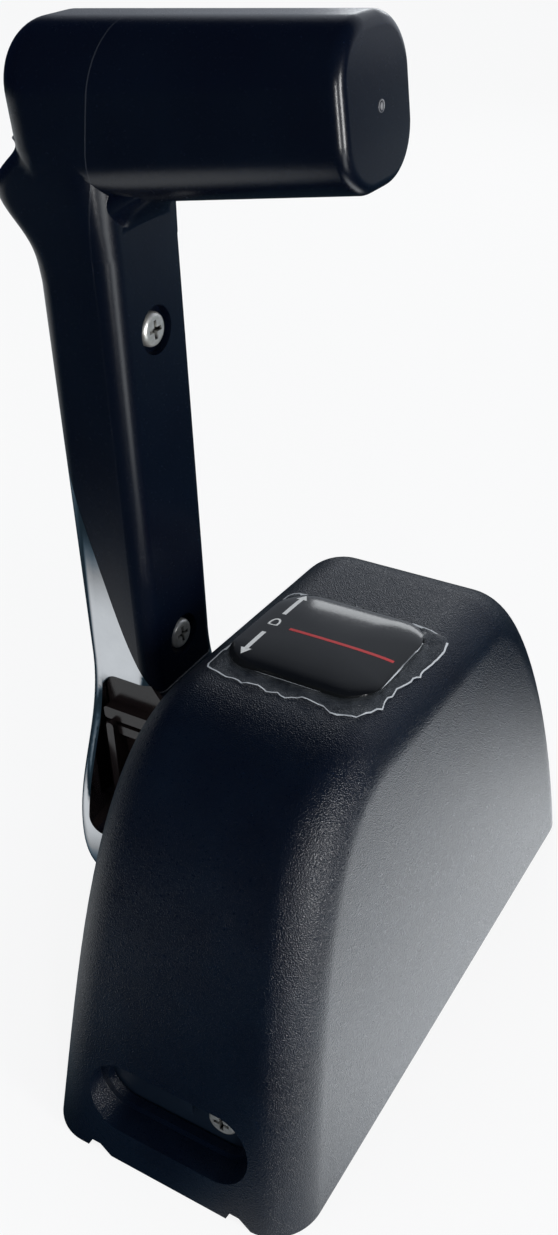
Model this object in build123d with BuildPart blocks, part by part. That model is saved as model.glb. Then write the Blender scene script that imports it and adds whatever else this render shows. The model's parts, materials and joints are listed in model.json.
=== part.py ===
"""Single-lever boat engine control for mounting on a console top.

The origin is the middle of the underside of the housing. +X runs from the lever side of the housing
towards its plain side, -Y is the end with the access slot, and +Z is up. All sizes are in millimetres.
"""
import math
import os

from build123d import *

os.makedirs("parts", exist_ok=True)

# ---------------------------------------------------------------- housing
base_length = 189.0
base_width = 80.0
top_height = 114.8
top_slope = 2.6
top_front = -27.5
top_rear = 40.0
front_lean = 13.1
front_pull = 60.0
front_ease = 43.0
rear_lean = 4.2
rear_pull = 52.0
rear_ease = 25.5
side_draft = 4.35
edge_radius = 13.3
wall = 3.0

slot_length = 49.2
slot_height = 20.0
slot_z = 19.7
slot_ledge = 2.5
slot_ledge_depth = 2.5
notch_width = 7.5
notch_depth = 2.2
notch_places = (-20.5, 23.5)

# ---------------------------------------------------------------- badge
badge_width = 44.0
badge_length = 41.0
badge_corner = 10.0
badge_y = -2.0
badge_recess = 0.8
badge_thickness = 2.4
badge_gap = 0.3

# ---------------------------------------------------------------- shaft and bearings
pivot_y = -3.5
pivot_z = 43.0
shaft_radius = 6.0
shaft_clearance = 0.05
bush_wall = 2.5
bush_flange = 2.0
shaft_right = 31.5
key_width = 3.0
key_height = 2.0

# ---------------------------------------------------------------- frame
gasket_thickness = 1.0
gasket_band = 4.0
frame_end_gap = 11.5
frame_side_gap = 5.0
frame_length = base_length - 2 * frame_end_gap
frame_width = base_width - 2 * frame_side_gap
frame_corner = 12.0
plate_thickness = 4.0
cheek_inside = 22.0
cheek_thickness = 4.0
cheek_front_foot = 31.0
cheek_rear_foot = 11.0
cheek_top_radius = 14.0
mount_inset = 12.0
mount_spacing_x = frame_width - 2 * mount_inset
mount_spacing_y = frame_length - 2 * mount_inset
mount_hole_radius = 3.3
cable_gate_width = 36.0
cable_gate_length = 14.0
cable_gate_inset = 22.0
cable_gate_y = -frame_length / 2 + cable_gate_inset

# ---------------------------------------------------------------- gears
gear_module = 1.5
drive_teeth = 18
shift_teeth = 36
gear_width = 10.0
gear_backlash = 0.12
shift_axle_angle = 28.0
shift_axle_radius = 5.0
sector_span = 130.0
shift_arm_length = 42.0
arm_thickness = 4.0
cable_pin_radius = 3.0
cable_pin_length = 9.0
throttle_crank_radius = 27.0

# ---------------------------------------------------------------- lever
arm_half_width = 15.5
arm_inner_x = -45.5
arm_outer_x = -69.5
hub_radius = 30.5
hub_boss_radius = 19.0
hub_boss_x = -39.6
arm_edge = 5.5
cover_thickness = 5.0
cover_top_z = 222.0
joint_gap = 0.15
window_low = 48.0
window_high = 96.0
window_outer_x = -64.0
window_depth = 13.0
cover_screw_z = (105.5, 195.5)
cover_screw_radius = 2.0
cover_head_radius = 4.4
cover_sink = 2.6

# ---------------------------------------------------------------- grip
grip_z = 246.6
grip_root_x = -57.0
grip_end_x = 15.2
grip_tilt = 5.0
grip_height = 34.0
grip_depth = 31.0
grip_corner = 12.3
grip_taper = 1.18
grip_end_edge = 3.0
head_split_x = -44.0

# ---------------------------------------------------------------- trim switch
rocker_height = 19.0
rocker_width = 14.0
rocker_stand_high = 1.6
rocker_stand_low = 4.0

# ---------------------------------------------------------------- throttle-only button
button_radius = 9.0
button_stand = 5.0
button_clearance = 0.3

built = []


def finish(piece, label):
    """Label one finished piece and write its STEP file."""
    piece.part.label = label
    export_step(piece.part, f"parts/{label}.step")
    built.append(piece)
    print(f"{label}: {len(piece.part.solids())} solid(s), {piece.part.volume:.0f} mm3")


def top_z(y):
    """Height of the sloping top face at a place along the housing."""
    return top_height - math.tan(math.radians(top_slope)) * y


# ---------------------------------------------------------------- housing cover
def housing_form(inset, floor):
    """Form of the housing, shrunk by inset all over, with its flat underside at the height floor."""
    slope = math.radians(top_slope)
    lean_f = math.radians(front_lean)
    lean_r = math.radians(rear_lean)
    pull_f = front_pull - inset / 2
    pull_r = rear_pull - inset / 2
    ease_f = front_ease - inset
    ease_r = rear_ease - inset
    foot_f = (-base_length / 2 + inset, 0)
    foot_r = (base_length / 2 - inset, 0)
    ridge_f = (top_front, top_z(top_front) - inset)
    ridge_r = (top_rear, top_z(top_rear) - inset)
    front_low = (foot_f[0] + pull_f * math.sin(lean_f), pull_f * math.cos(lean_f))
    front_high = (ridge_f[0] - ease_f * math.cos(slope), ridge_f[1] + ease_f * math.sin(slope))
    rear_low = (foot_r[0] - pull_r * math.sin(lean_r), pull_r * math.cos(lean_r))
    rear_high = (ridge_r[0] + ease_r * math.cos(slope), ridge_r[1] - ease_r * math.sin(slope))
    half = base_width / 2 - inset
    narrow = math.tan(math.radians(side_draft))
    radius = edge_radius - inset
    below = 6 * wall
    above = top_height * 1.2
    with BuildPart() as form:
        with BuildSketch(Plane.YZ):
            with BuildLine():
                Bezier(foot_f, front_low, front_high, ridge_f)
                Line(ridge_f, ridge_r)
                Bezier(ridge_r, rear_high, rear_low, foot_r)
                Polyline(foot_r, (foot_r[0], -below), (foot_f[0], -below), foot_f)
            make_face()
        extrude(amount=base_width, both=True)
        with BuildSketch(Plane.XZ):
            with BuildLine():
                Polyline(
                    (-half + narrow * floor, floor),
                    (half - narrow * floor, floor),
                    (half - narrow * above, above),
                    (-half + narrow * above, above),
                    close=True,
                )
            make_face()
        extrude(amount=base_length, both=True, mode=Mode.INTERSECT)
        sides = form.faces().filter_by(lambda face: abs(face.normal_at().X) > 0.9)
        rims = sides.edges().filter_by(lambda edge: edge.bounding_box().max.Z > floor + wall)
        fillet(rims, radius)
    return form.part


outer_form = housing_form(0, 0)
inner_form = housing_form(wall, -wall)
plate_top = gasket_thickness + plate_thickness
boss_radius = 5.0
boss_x = frame_width / 2 - boss_radius - 0.5
boss_y = frame_length / 2 - 31.0
boss_height = 22.0
screw_pilot = 1.6
slot_depth = 12.0
slot_deep_y = -base_length / 2 + slot_depth

with BuildPart() as slot_collar_form:
    with BuildSketch(Plane.XZ.offset(-slot_deep_y)):
        with Locations((0, slot_z)):
            SlotOverall(slot_length + 2 * wall, slot_height + 2 * wall)
    extrude(amount=20)

with BuildPart() as housing_cover:
    add(outer_form)
    add(inner_form, mode=Mode.SUBTRACT)
    # collar behind the slot, trimmed to the outside form
    add(slot_collar_form.part.intersect(outer_form))
    with BuildSketch(Plane.XZ.offset(-slot_deep_y)):
        with Locations((0, slot_z)):
            SlotOverall(slot_length - 2 * slot_ledge, slot_height - 2 * slot_ledge)
    extrude(amount=30, mode=Mode.SUBTRACT)
    with BuildSketch(Plane.XZ.offset(-slot_deep_y + slot_ledge_depth)):
        with Locations((0, slot_z)):
            SlotOverall(slot_length, slot_height)
    extrude(amount=30, mode=Mode.SUBTRACT)
    # screw bosses, hung from the side walls
    with BuildSketch(Plane.XY.offset(plate_top)):
        with GridLocations(2 * boss_x, 2 * boss_y, 2, 2):
            Circle(boss_radius)
        with GridLocations(2 * boss_x + boss_radius, 2 * boss_y, 2, 2):
            Rectangle(2 * boss_radius, wall)
    extrude(amount=boss_height)
    with BuildSketch(Plane.XY.offset(plate_top)):
        with GridLocations(2 * boss_x, 2 * boss_y, 2, 2):
            Circle(screw_pilot)
    extrude(amount=boss_height - 3, mode=Mode.SUBTRACT)
    # way through the left wall for the lever's boss
    with BuildSketch(Plane.YZ.offset(-base_width / 2 - 1)):
        with Locations((pivot_y, pivot_z)):
            Circle(shaft_radius + 5.5)
    extrude(amount=12, mode=Mode.SUBTRACT)
    # two notches in the front foot edge
    with BuildSketch(Plane.XZ.offset(base_length / 2 - 20)):
        for place in notch_places:
            with BuildLine():
                Polyline(
                    (place - notch_width / 2, 0),
                    (place - notch_width / 2 + 1, notch_depth),
                    (place, notch_depth),
                    (place + notch_width / 2, 0),
                    close=True,
                )
            make_face()
    extrude(amount=25, mode=Mode.SUBTRACT)
    # recess for the badge
    badge_plane = Plane(
        origin=(0, badge_y, top_z(badge_y)),
        x_dir=(1, 0, 0),
        z_dir=(0, math.sin(math.radians(top_slope)), math.cos(math.radians(top_slope))),
    )
    with BuildSketch(badge_plane.offset(-badge_recess)):
        RectangleRounded(badge_width + 2 * badge_gap, badge_length + 2 * badge_gap, badge_corner)
    extrude(amount=5, mode=Mode.SUBTRACT)
finish(housing_cover, "housing_cover")

# ---------------------------------------------------------------- badge plate
with BuildPart() as badge_plate:
    with BuildSketch(badge_plane.offset(-badge_recess)):
        RectangleRounded(badge_width, badge_length, badge_corner)
    extrude(amount=badge_thickness)
    fillet(badge_plate.faces().sort_by(Axis.Z)[-1].edges(), 1.1)
finish(badge_plate, "badge_plate")

# ---------------------------------------------------------------- gasket and frame
with BuildPart() as base_gasket:
    with BuildSketch():
        RectangleRounded(frame_width, frame_length, frame_corner)
        RectangleRounded(
            frame_width - 2 * gasket_band, frame_length - 2 * gasket_band,
            frame_corner - gasket_band, mode=Mode.SUBTRACT,
        )
        # the band turns in round the fixings
        with GridLocations(mount_spacing_x, mount_spacing_y, 2, 2):
            Circle(mount_hole_radius + 5)
        with GridLocations(2 * boss_x, 2 * boss_y, 2, 2):
            Circle(boss_radius)
        with GridLocations(mount_spacing_x, mount_spacing_y, 2, 2):
            Circle(mount_hole_radius, mode=Mode.SUBTRACT)
        with GridLocations(2 * boss_x, 2 * boss_y, 2, 2):
            Circle(4.2, mode=Mode.SUBTRACT)
    extrude(amount=gasket_thickness)
finish(base_gasket, "base_gasket")

bush_outer = shaft_radius + bush_wall
axle_reach = gear_module * (drive_teeth + shift_teeth) / 2
axle_y = pivot_y + axle_reach * math.cos(math.radians(shift_axle_angle))
axle_z = pivot_z + axle_reach * math.sin(math.radians(shift_axle_angle))
detent_x = 10.5
detent_radius = 14.0
detent_bore = 4.0
post_front = -34.0
post_depth = 12.0
post_half = 7.0

with BuildPart() as frame:
    with BuildSketch(Plane.XY.offset(gasket_thickness)):
        RectangleRounded(frame_width, frame_length, frame_corner)
        with GridLocations(mount_spacing_x, mount_spacing_y, 2, 2):
            Circle(mount_hole_radius, mode=Mode.SUBTRACT)
        with GridLocations(2 * boss_x, 2 * boss_y, 2, 2):
            Circle(2.2, mode=Mode.SUBTRACT)
        with Locations((0, cable_gate_y)):
            RectangleRounded(cable_gate_width, cable_gate_length, 4, mode=Mode.SUBTRACT)
    extrude(amount=plate_thickness)
    # two cheeks that carry the shaft and the shift axle
    for cheek_x in (-cheek_inside - cheek_thickness, cheek_inside):
        with BuildSketch(Plane.YZ.offset(cheek_x)):
            with BuildLine():
                Polyline(
                    (pivot_y - cheek_front_foot, plate_top - 1),
                    (axle_y + cheek_rear_foot, plate_top - 1),
                    (axle_y + cheek_top_radius * 0.9, axle_z),
                    (axle_y, axle_z + cheek_top_radius * 0.8),
                    (pivot_y, pivot_z + cheek_top_radius * 1.2),
                    (pivot_y - cheek_top_radius * 1.1, pivot_z),
                    close=True,
                )
            make_face()
            fillet(vertices().filter_by(lambda corner: corner.Y > plate_top), 7)
        extrude(amount=cheek_thickness)
    with BuildSketch(Plane.YZ.offset(-40)):
        with Locations((pivot_y, pivot_z)):
            Circle(bush_outer)
        with Locations((axle_y, axle_z)):
            Circle(shift_axle_radius)
        with Locations((pivot_y + 24, 19)):
            SlotOverall(24, 12)
    extrude(amount=80, mode=Mode.SUBTRACT)
    # post for the detent plunger, bored along Y
    with BuildSketch(Plane.XZ.offset(-post_front - post_depth)):
        with BuildLine():
            Polyline(
                (detent_x - post_half, pivot_z),
                (detent_x - post_half - 2, plate_top - 1),
                (detent_x + post_half + 2, plate_top - 1),
                (detent_x + post_half, pivot_z),
            )
            ThreePointArc(
                (detent_x + post_half, pivot_z),
                (detent_x, pivot_z + post_half),
                (detent_x - post_half, pivot_z),
            )
        make_face()
        with Locations((detent_x, pivot_z)):
            Circle(detent_bore, mode=Mode.SUBTRACT)
    extrude(amount=post_depth)
finish(frame, "frame")

# ---------------------------------------------------------------- bracket behind the slot
bracket_gap = 2.5
bracket_y = slot_deep_y + bracket_gap
bracket_width = slot_length + 0.8
bracket_foot_width = 34.0
bracket_foot_depth = 12.0
bracket_x = 13.4
bracket_screw_z = 22.0
bracket_thickness = 2.0
bracket_low = plate_top
bracket_high = 36.0
bracket_tab_x = 2.0

with BuildPart() as bracket_panel:
    with BuildSketch(Plane.XZ.offset(-bracket_y)):
        with Locations((0, (bracket_low + bracket_high) / 2)):
            RectangleRounded(bracket_width, bracket_high - bracket_low, 3)
        with Locations((bracket_x, bracket_screw_z)):
            Circle(2.1, mode=Mode.SUBTRACT)
    extrude(amount=bracket_thickness)
    # foot that lies on the frame's plate
    with BuildSketch(Plane.XY.offset(plate_top)):
        with Locations((0, bracket_y + bracket_foot_depth / 2 - 1)):
            Rectangle(bracket_foot_width, bracket_foot_depth)
    extrude(amount=bracket_thickness)
    # upright stiffening tab
    with BuildSketch(Plane.XZ.offset(-bracket_y + bracket_thickness)):
        with Locations((bracket_tab_x, bracket_screw_z)):
            RectangleRounded(4, 8, 1)
    extrude(amount=1.6)
finish(bracket_panel, "bracket_panel")


def pan_screw(plane, head_radius, head_height, body_radius, body_length):
    """Cross-head pan screw with its head's underside on the plane and its head on the plane's front."""
    with BuildPart() as screw:
        with BuildSketch(plane):
            Circle(head_radius)
        extrude(amount=head_height)
        fillet(screw.faces().sort_by(SortBy.AREA)[-2:].edges().sort_by(
            lambda edge: (edge.center() - plane.origin).dot(plane.z_dir))[-1:], head_height * 0.55)
        with BuildSketch(plane.offset(head_height)):
            Rectangle(head_radius * 1.1, head_radius * 0.26)
            Rectangle(head_radius * 0.26, head_radius * 1.1)
        extrude(amount=-head_height * 0.6, mode=Mode.SUBTRACT)
        with BuildSketch(plane):
            Circle(body_radius)
        extrude(amount=-body_length)
    return screw.part


with BuildPart() as bracket_screw:
    add(pan_screw(
        Plane(origin=(bracket_x, bracket_y - bracket_thickness, bracket_screw_z), x_dir=(1, 0, 0), z_dir=(0, -1, 0)),
        4.2, 2.4, 2.0, 9.0,
    ))
finish(bracket_screw, "bracket_screw")

with BuildPart() as cover_screws:
    for place_x in (-boss_x, boss_x):
        for place_y in (-boss_y, boss_y):
            add(pan_screw(
                Plane(origin=(place_x, place_y, gasket_thickness), x_dir=(1, 0, 0), z_dir=(0, 0, -1)),
                3.6, 0.9, screw_pilot, 18.0,
            ))
finish(cover_screws, "housing_screws")


# ---------------------------------------------------------------- bushes
def flanged_bush(start_x, direction, hole_radius, outer_radius, centre_y, centre_z, length):
    """Plain bush with a flange on its inner side, along X."""
    with BuildPart() as bush:
        with BuildSketch(Plane.YZ.offset(start_x)):
            with Locations((centre_y, centre_z)):
                Circle(outer_radius)
                Circle(hole_radius, mode=Mode.SUBTRACT)
        extrude(amount=direction * length)
        with BuildSketch(Plane.YZ.offset(start_x)):
            with Locations((centre_y, centre_z)):
                Circle(outer_radius + bush_flange)
                Circle(hole_radius, mode=Mode.SUBTRACT)
        extrude(amount=-direction * bush_flange)
    return bush.part


running_radius = shaft_radius + shaft_clearance
with BuildPart() as shaft_bush_left:
    add(flanged_bush(-cheek_inside, -1, running_radius, bush_outer, pivot_y, pivot_z, cheek_thickness))
finish(shaft_bush_left, "shaft_bush_left")

with BuildPart() as shaft_bush_right:
    add(flanged_bush(cheek_inside, 1, running_radius, bush_outer, pivot_y, pivot_z, cheek_thickness))
finish(shaft_bush_right, "shaft_bush_right")

# ---------------------------------------------------------------- shaft seal in the housing's side
seal_inner = shaft_radius + 0.3
seal_x = -33.0
seal_length = 4.0
with BuildPart() as shaft_seal:
    with BuildSketch(Plane.YZ.offset(seal_x)):
        with Locations((pivot_y, pivot_z)):
            Circle(shaft_radius + 5.5)
            Circle(seal_inner, mode=Mode.SUBTRACT)
    extrude(amount=-seal_length)
finish(shaft_seal, "shaft_seal")

# ---------------------------------------------------------------- main shaft, key and retaining ring
shaft_left = -58.0
gear_hub_radius = 10.0
ring_width = 1.2
with BuildPart() as main_shaft:
    with BuildSketch(Plane.YZ.offset(shaft_left)):
        with Locations((pivot_y, pivot_z)):
            Circle(shaft_radius)
    extrude(amount=shaft_right - shaft_left)
    chamfer(main_shaft.faces().filter_by(Axis.X).edges(), 0.6)
    # groove for the retaining ring
    with BuildSketch(Plane.YZ.offset(cheek_inside + cheek_thickness + 1)):
        with Locations((pivot_y, pivot_z)):
            Circle(shaft_radius)
            Circle(shaft_radius - 0.8, mode=Mode.SUBTRACT)
    extrude(amount=ring_width, mode=Mode.SUBTRACT)
    # keyway under the gear
    with BuildSketch(Plane.YZ.offset(-gear_width / 2)):
        with Locations((pivot_y, pivot_z + shaft_radius)):
            Rectangle(key_width, key_height)
    extrude(amount=gear_width, mode=Mode.SUBTRACT)
finish(main_shaft, "main_shaft")

with BuildPart() as shaft_key:
    with BuildSketch(Plane.YZ.offset(-gear_width / 2)):
        with Locations((pivot_y, pivot_z + shaft_radius)):
            Rectangle(key_width, key_height)
    extrude(amount=gear_width)
finish(shaft_key, "shaft_key")

with BuildPart() as retaining_ring:
    with BuildSketch(Plane.YZ.offset(cheek_inside + cheek_thickness + 1)):
        with Locations((pivot_y, pivot_z)):
            Circle(shaft_radius + 2.6)
            Circle(shaft_radius - 0.8, mode=Mode.SUBTRACT)
            with Locations((0, -shaft_radius)):
                Rectangle(5.0, 8.0, mode=Mode.SUBTRACT)
    extrude(amount=ring_width)
finish(retaining_ring, "retaining_ring")


# ---------------------------------------------------------------- gears
def tooth_outline(teeth, backlash):
    """One tooth of a gear of this module: its flank points, from root to tip and back, about angle 0."""
    pitch = gear_module * teeth / 2
    base = pitch * math.cos(math.radians(20))
    tip = pitch + gear_module
    root = pitch - 1.25 * gear_module
    half = math.pi / (2 * teeth) - backlash / (2 * pitch)
    lean = math.tan(math.radians(20)) - math.radians(20)

    def flank(radius):
        roll = math.acos(base / radius) if radius > base else 0.0
        return half + lean - (math.tan(roll) - roll)

    radii = [max(root, base), pitch, pitch + gear_module / 2, tip]
    rise = [(radius, flank(radius)) for radius in radii]
    low = (root - 0.4, flank(radii[0]))
    side = [low] + rise
    return [(r * math.cos(a), r * math.sin(a)) for r, a in side] + [
        (r * math.cos(-a), r * math.sin(-a)) for r, a in reversed(side)
    ]


def gear_blank(teeth, backlash, turn, first, count, hub):
    """Gear teeth numbered from first, about the local origin, joined to a disc of the root radius."""
    root = gear_module * (teeth / 2 - 1.25)
    with BuildSketch() as blank:
        Circle(root)
        with BuildLine():
            Polyline(*tooth_outline(teeth, backlash), close=True)
        tooth = make_face(mode=Mode.PRIVATE)
        for number in range(first, first + count):
            with Locations(Location((0, 0, 0), (0, 0, turn + 360 / teeth * number))):
                add(tooth)
        Circle(hub, mode=Mode.SUBTRACT)
    return blank.sketch


mesh_turn = shift_axle_angle
with BuildPart() as drive_gear:
    with BuildSketch(Plane.YZ.offset(-gear_width / 2)):
        with Locations((pivot_y, pivot_z)):
            add(gear_blank(drive_teeth, gear_backlash, mesh_turn, 0, drive_teeth, shaft_radius))
            with Locations((0, shaft_radius)):
                Rectangle(key_width, key_height, mode=Mode.SUBTRACT)
    extrude(amount=gear_width)
finish(drive_gear, "drive_gear")

# ---------------------------------------------------------------- shift sector, its arm, bush and axle
sector_count = 12
sector_turn = shift_axle_angle + 180 + 180 / shift_teeth
sector_half = 180 / shift_teeth * sector_count
bush_radius = shift_axle_radius + 2.0
sector_hub = bush_radius + 3.0
arm_x = -18.0
arm_right = arm_x + arm_thickness
with BuildPart() as shift_gear:
    with BuildSketch(Plane.YZ.offset(-gear_width / 2)):
        with Locations((axle_y, axle_z)):
            add(gear_blank(shift_teeth, gear_backlash, sector_turn, -sector_count // 2, sector_count, bush_radius))
            reach = gear_module * shift_teeth
            mid = math.radians(shift_axle_angle + 180)
            half = math.radians(sector_half)
        with BuildLine():
            Polyline(
                (axle_y, axle_z),
                (axle_y + reach * math.cos(mid - half), axle_z + reach * math.sin(mid - half)),
                (axle_y + 2 * reach * math.cos(mid), axle_z + 2 * reach * math.sin(mid)),
                (axle_y + reach * math.cos(mid + half), axle_z + reach * math.sin(mid + half)),
                close=True,
            )
        make_face(mode=Mode.INTERSECT)
        with Locations((axle_y, axle_z)):
            Circle(sector_hub)
            Circle(bush_radius, mode=Mode.SUBTRACT)
    extrude(amount=gear_width)
    with BuildSketch(Plane.YZ.offset(arm_right)):
        with Locations((axle_y, axle_z)):
            Circle(sector_hub)
            Circle(bush_radius, mode=Mode.SUBTRACT)
    extrude(amount=-gear_width / 2 - arm_right)
finish(shift_gear, "shift_gear")

with BuildPart() as shift_arm:
    with BuildSketch(Plane.YZ.offset(arm_x)):
        with Locations((axle_y, axle_z)):
            Circle(sector_hub + 1)
        with Locations((axle_y, axle_z - shift_arm_length)):
            Circle(cable_pin_radius + 3)
        make_hull()
        with Locations((axle_y, axle_z)):
            Circle(bush_radius, mode=Mode.SUBTRACT)
        with Locations((axle_y, axle_z - shift_arm_length)):
            Circle(cable_pin_radius - 0.5, mode=Mode.SUBTRACT)
        with Locations((axle_y, axle_z - shift_arm_length / 2)):
            SlotOverall(14, 5, rotation=90, mode=Mode.SUBTRACT)
    extrude(amount=arm_thickness)
finish(shift_arm, "shift_arm")


def cable_pin(seat_x, direction, centre_y, centre_z):
    """Shouldered pin for a cable end: its neck is set in an arm and its body stands on the arm's face."""
    with BuildPart() as pin:
        with BuildSketch(Plane.YZ.offset(seat_x)):
            with Locations((centre_y, centre_z)):
                Circle(cable_pin_radius)
        extrude(amount=direction * cable_pin_length)
        end = pin.faces().sort_by(Axis.X)[-1 if direction > 0 else 0]
        chamfer(end.edges(), 0.5)
        with BuildSketch(Plane.YZ.offset(seat_x)):
            with Locations((centre_y, centre_z)):
                Circle(cable_pin_radius - 0.5)
        extrude(amount=-direction * arm_thickness)
    return pin.part


with BuildPart() as shift_pin:
    add(cable_pin(arm_right, 1, axle_y, axle_z - shift_arm_length))
finish(shift_pin, "shift_pin")

with BuildPart() as shift_bush:
    with BuildSketch(Plane.YZ.offset(arm_x)):
        with Locations((axle_y, axle_z)):
            Circle(bush_radius)
            Circle(shift_axle_radius + shaft_clearance, mode=Mode.SUBTRACT)
    extrude(amount=gear_width / 2 - arm_x)
finish(shift_bush, "shift_bush")

axle_head = 2.0
with BuildPart() as shift_axle:
    with BuildSketch(Plane.YZ.offset(-cheek_inside - cheek_thickness)):
        with Locations((axle_y, axle_z)):
            Circle(shift_axle_radius)
    extrude(amount=2 * (cheek_inside + cheek_thickness) + 1)
    with BuildSketch(Plane.YZ.offset(-cheek_inside - cheek_thickness)):
        with Locations((axle_y, axle_z)):
            Circle(shift_axle_radius + 1.6)
    extrude(amount=-axle_head)
    chamfer(shift_axle.faces().sort_by(Axis.X)[-1].edges(), 0.6)
finish(shift_axle, "shift_axle")

# spacer sleeves keep the sector between the cheeks
with BuildPart() as axle_spacers:
    for start, end in ((-cheek_inside, arm_x - 0.3), (gear_width / 2 + 0.3, cheek_inside)):
        with BuildSketch(Plane.YZ.offset(start)):
            with Locations((axle_y, axle_z)):
                Circle(shift_axle_radius + 1.8)
                Circle(shift_axle_radius, mode=Mode.SUBTRACT)
        extrude(amount=end - start)
finish(axle_spacers, "axle_spacers")

# ---------------------------------------------------------------- throttle crank and its pin
crank_x = cheek_inside - bush_flange - 0.3 - arm_thickness
with BuildPart() as throttle_crank:
    with BuildSketch(Plane.YZ.offset(crank_x)):
        with Locations((pivot_y, pivot_z)):
            Circle(shaft_radius + 4)
        with Locations((pivot_y + throttle_crank_radius, pivot_z)):
            Circle(cable_pin_radius + 2.6)
        make_hull()
        with Locations((pivot_y, pivot_z)):
            Circle(shaft_radius, mode=Mode.SUBTRACT)
        with Locations((pivot_y + throttle_crank_radius, pivot_z)):
            Circle(cable_pin_radius - 0.5, mode=Mode.SUBTRACT)
    extrude(amount=arm_thickness)
finish(throttle_crank, "throttle_crank")

with BuildPart() as throttle_pin:
    add(cable_pin(crank_x, -1, pivot_y + throttle_crank_radius, pivot_z))
finish(throttle_pin, "throttle_pin")

# ---------------------------------------------------------------- detent
cam_width = 5.0
cam_left = detent_x - cam_width / 2
detent_gap = 0.3
notch_angle = 32.0
detent_notch = 1.0
with BuildPart() as detent_cam:
    with BuildSketch(Plane.YZ.offset(cam_left)):
        with Locations((pivot_y, pivot_z)):
            Circle(detent_radius)
            Circle(shaft_radius, mode=Mode.SUBTRACT)
            with PolarLocations(detent_radius + 3 - detent_notch, 3, 180 - notch_angle, 3 * notch_angle):
                Circle(3, mode=Mode.SUBTRACT)
    extrude(amount=cam_width)
    # hubs that space the cam between the gear and the crank
    with BuildSketch(Plane.YZ.offset(gear_width / 2)):
        with Locations((pivot_y, pivot_z)):
            Circle(gear_hub_radius - 1)
            Circle(shaft_radius, mode=Mode.SUBTRACT)
    extrude(amount=cam_left - gear_width / 2)
    with BuildSketch(Plane.YZ.offset(cam_left + cam_width)):
        with Locations((pivot_y, pivot_z)):
            Circle(gear_hub_radius - 1)
            Circle(shaft_radius, mode=Mode.SUBTRACT)
    extrude(amount=crank_x - cam_left - cam_width)
finish(detent_cam, "detent_cam")

plunger_radius = detent_bore - shaft_clearance
plunger_length = 8.0
plunger_tip = pivot_y - detent_radius - detent_gap
with BuildPart() as detent_plunger:
    with BuildSketch(Plane.XZ.offset(-plunger_tip + plunger_radius)):
        with Locations((detent_x, pivot_z)):
            Circle(plunger_radius)
    extrude(amount=plunger_length - plunger_radius)
    with Locations((detent_x, plunger_tip - plunger_radius, pivot_z)):
        Sphere(plunger_radius)
finish(detent_plunger, "detent_plunger")


def coil_spring(start, direction, length, mean_radius, wire_radius, turns):
    """Closed-ended compression spring from a point along a direction."""
    pitch = (length - 2 * wire_radius) / turns
    centre = start + direction * wire_radius
    with BuildPart() as spring:
        with BuildLine():
            path = Helix(pitch=pitch, height=pitch * turns, radius=mean_radius, center=centre, direction=direction)
        with BuildSketch(Plane(origin=path @ 0, z_dir=path % 0)):
            Circle(wire_radius)
        sweep(is_frenet=True)
    return spring.part


plug_length = 4.0
detent_spring_start = post_front + plug_length
detent_spring_length = plunger_tip - plunger_length - detent_spring_start
with BuildPart() as detent_spring:
    add(coil_spring(
        Vector(detent_x, detent_spring_start, pivot_z), Vector(0, 1, 0), detent_spring_length - 0.1, 3.0, 0.4, 3))
finish(detent_spring, "detent_spring")

with BuildPart() as detent_plug:
    with BuildSketch(Plane.XZ.offset(-post_front)):
        with Locations((detent_x, pivot_z)):
            Circle(detent_bore)
            Rectangle(4.6, 1.0, mode=Mode.SUBTRACT)
    extrude(amount=-plug_length)
finish(detent_plug, "detent_plug")

# ---------------------------------------------------------------- neutral switch
switch_centre_y = -10.0
switch_top = 25.0
switch_stem_y = -9.0
stem_radius = 1.5
cam_under = pivot_z - math.sqrt(detent_radius ** 2 - (switch_stem_y - pivot_y) ** 2)
with BuildPart() as neutral_switch:
    with BuildSketch(Plane.XY.offset(plate_top)):
        with Locations((detent_x, switch_centre_y)):
            RectangleRounded(9, 12, 1)
    extrude(amount=switch_top - plate_top)
    with BuildSketch(Plane.XY.offset(switch_top - 4)):
        with Locations((detent_x, switch_stem_y)):
            Circle(stem_radius + shaft_clearance)
    extrude(amount=5, mode=Mode.SUBTRACT)
finish(neutral_switch, "neutral_switch")

with BuildPart() as switch_stem:
    with BuildSketch(Plane.XY.offset(switch_top - 2)):
        with Locations((detent_x, switch_stem_y)):
            Circle(stem_radius)
    extrude(amount=cam_under - 0.5 - switch_top + 2)
    fillet(switch_stem.faces().sort_by(Axis.Z)[-1].edges(), 0.7)
finish(switch_stem, "switch_stem")

# ---------------------------------------------------------------- cable clamps
clamp_places = (-9.5, 11.5)
clamp_y = -46.0
clamp_length = 12.0
clamp_width = 18.0
cable_radius = 4.0
cable_z = 17.0
cap_height = 7.0
cap_gap = 0.6
clamp_screw_radius = 1.5
clamp_bite = 7.0
with BuildPart() as cable_seats:
    for place in clamp_places:
        with BuildSketch(Plane.XZ.offset(-clamp_y - clamp_length / 2)):
            with Locations((place, (plate_top + cable_z) / 2)):
                Rectangle(clamp_width, cable_z - plate_top)
            with Locations((place, cable_z)):
                Circle(cable_radius, mode=Mode.SUBTRACT)
        extrude(amount=clamp_length)
        with BuildSketch(Plane.XY.offset(cable_z - clamp_bite)):
            with Locations((place - 6.5, clamp_y), (place + 6.5, clamp_y)):
                Circle(clamp_screw_radius)
        extrude(amount=20, mode=Mode.SUBTRACT)
finish(cable_seats, "cable_seats")

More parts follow.
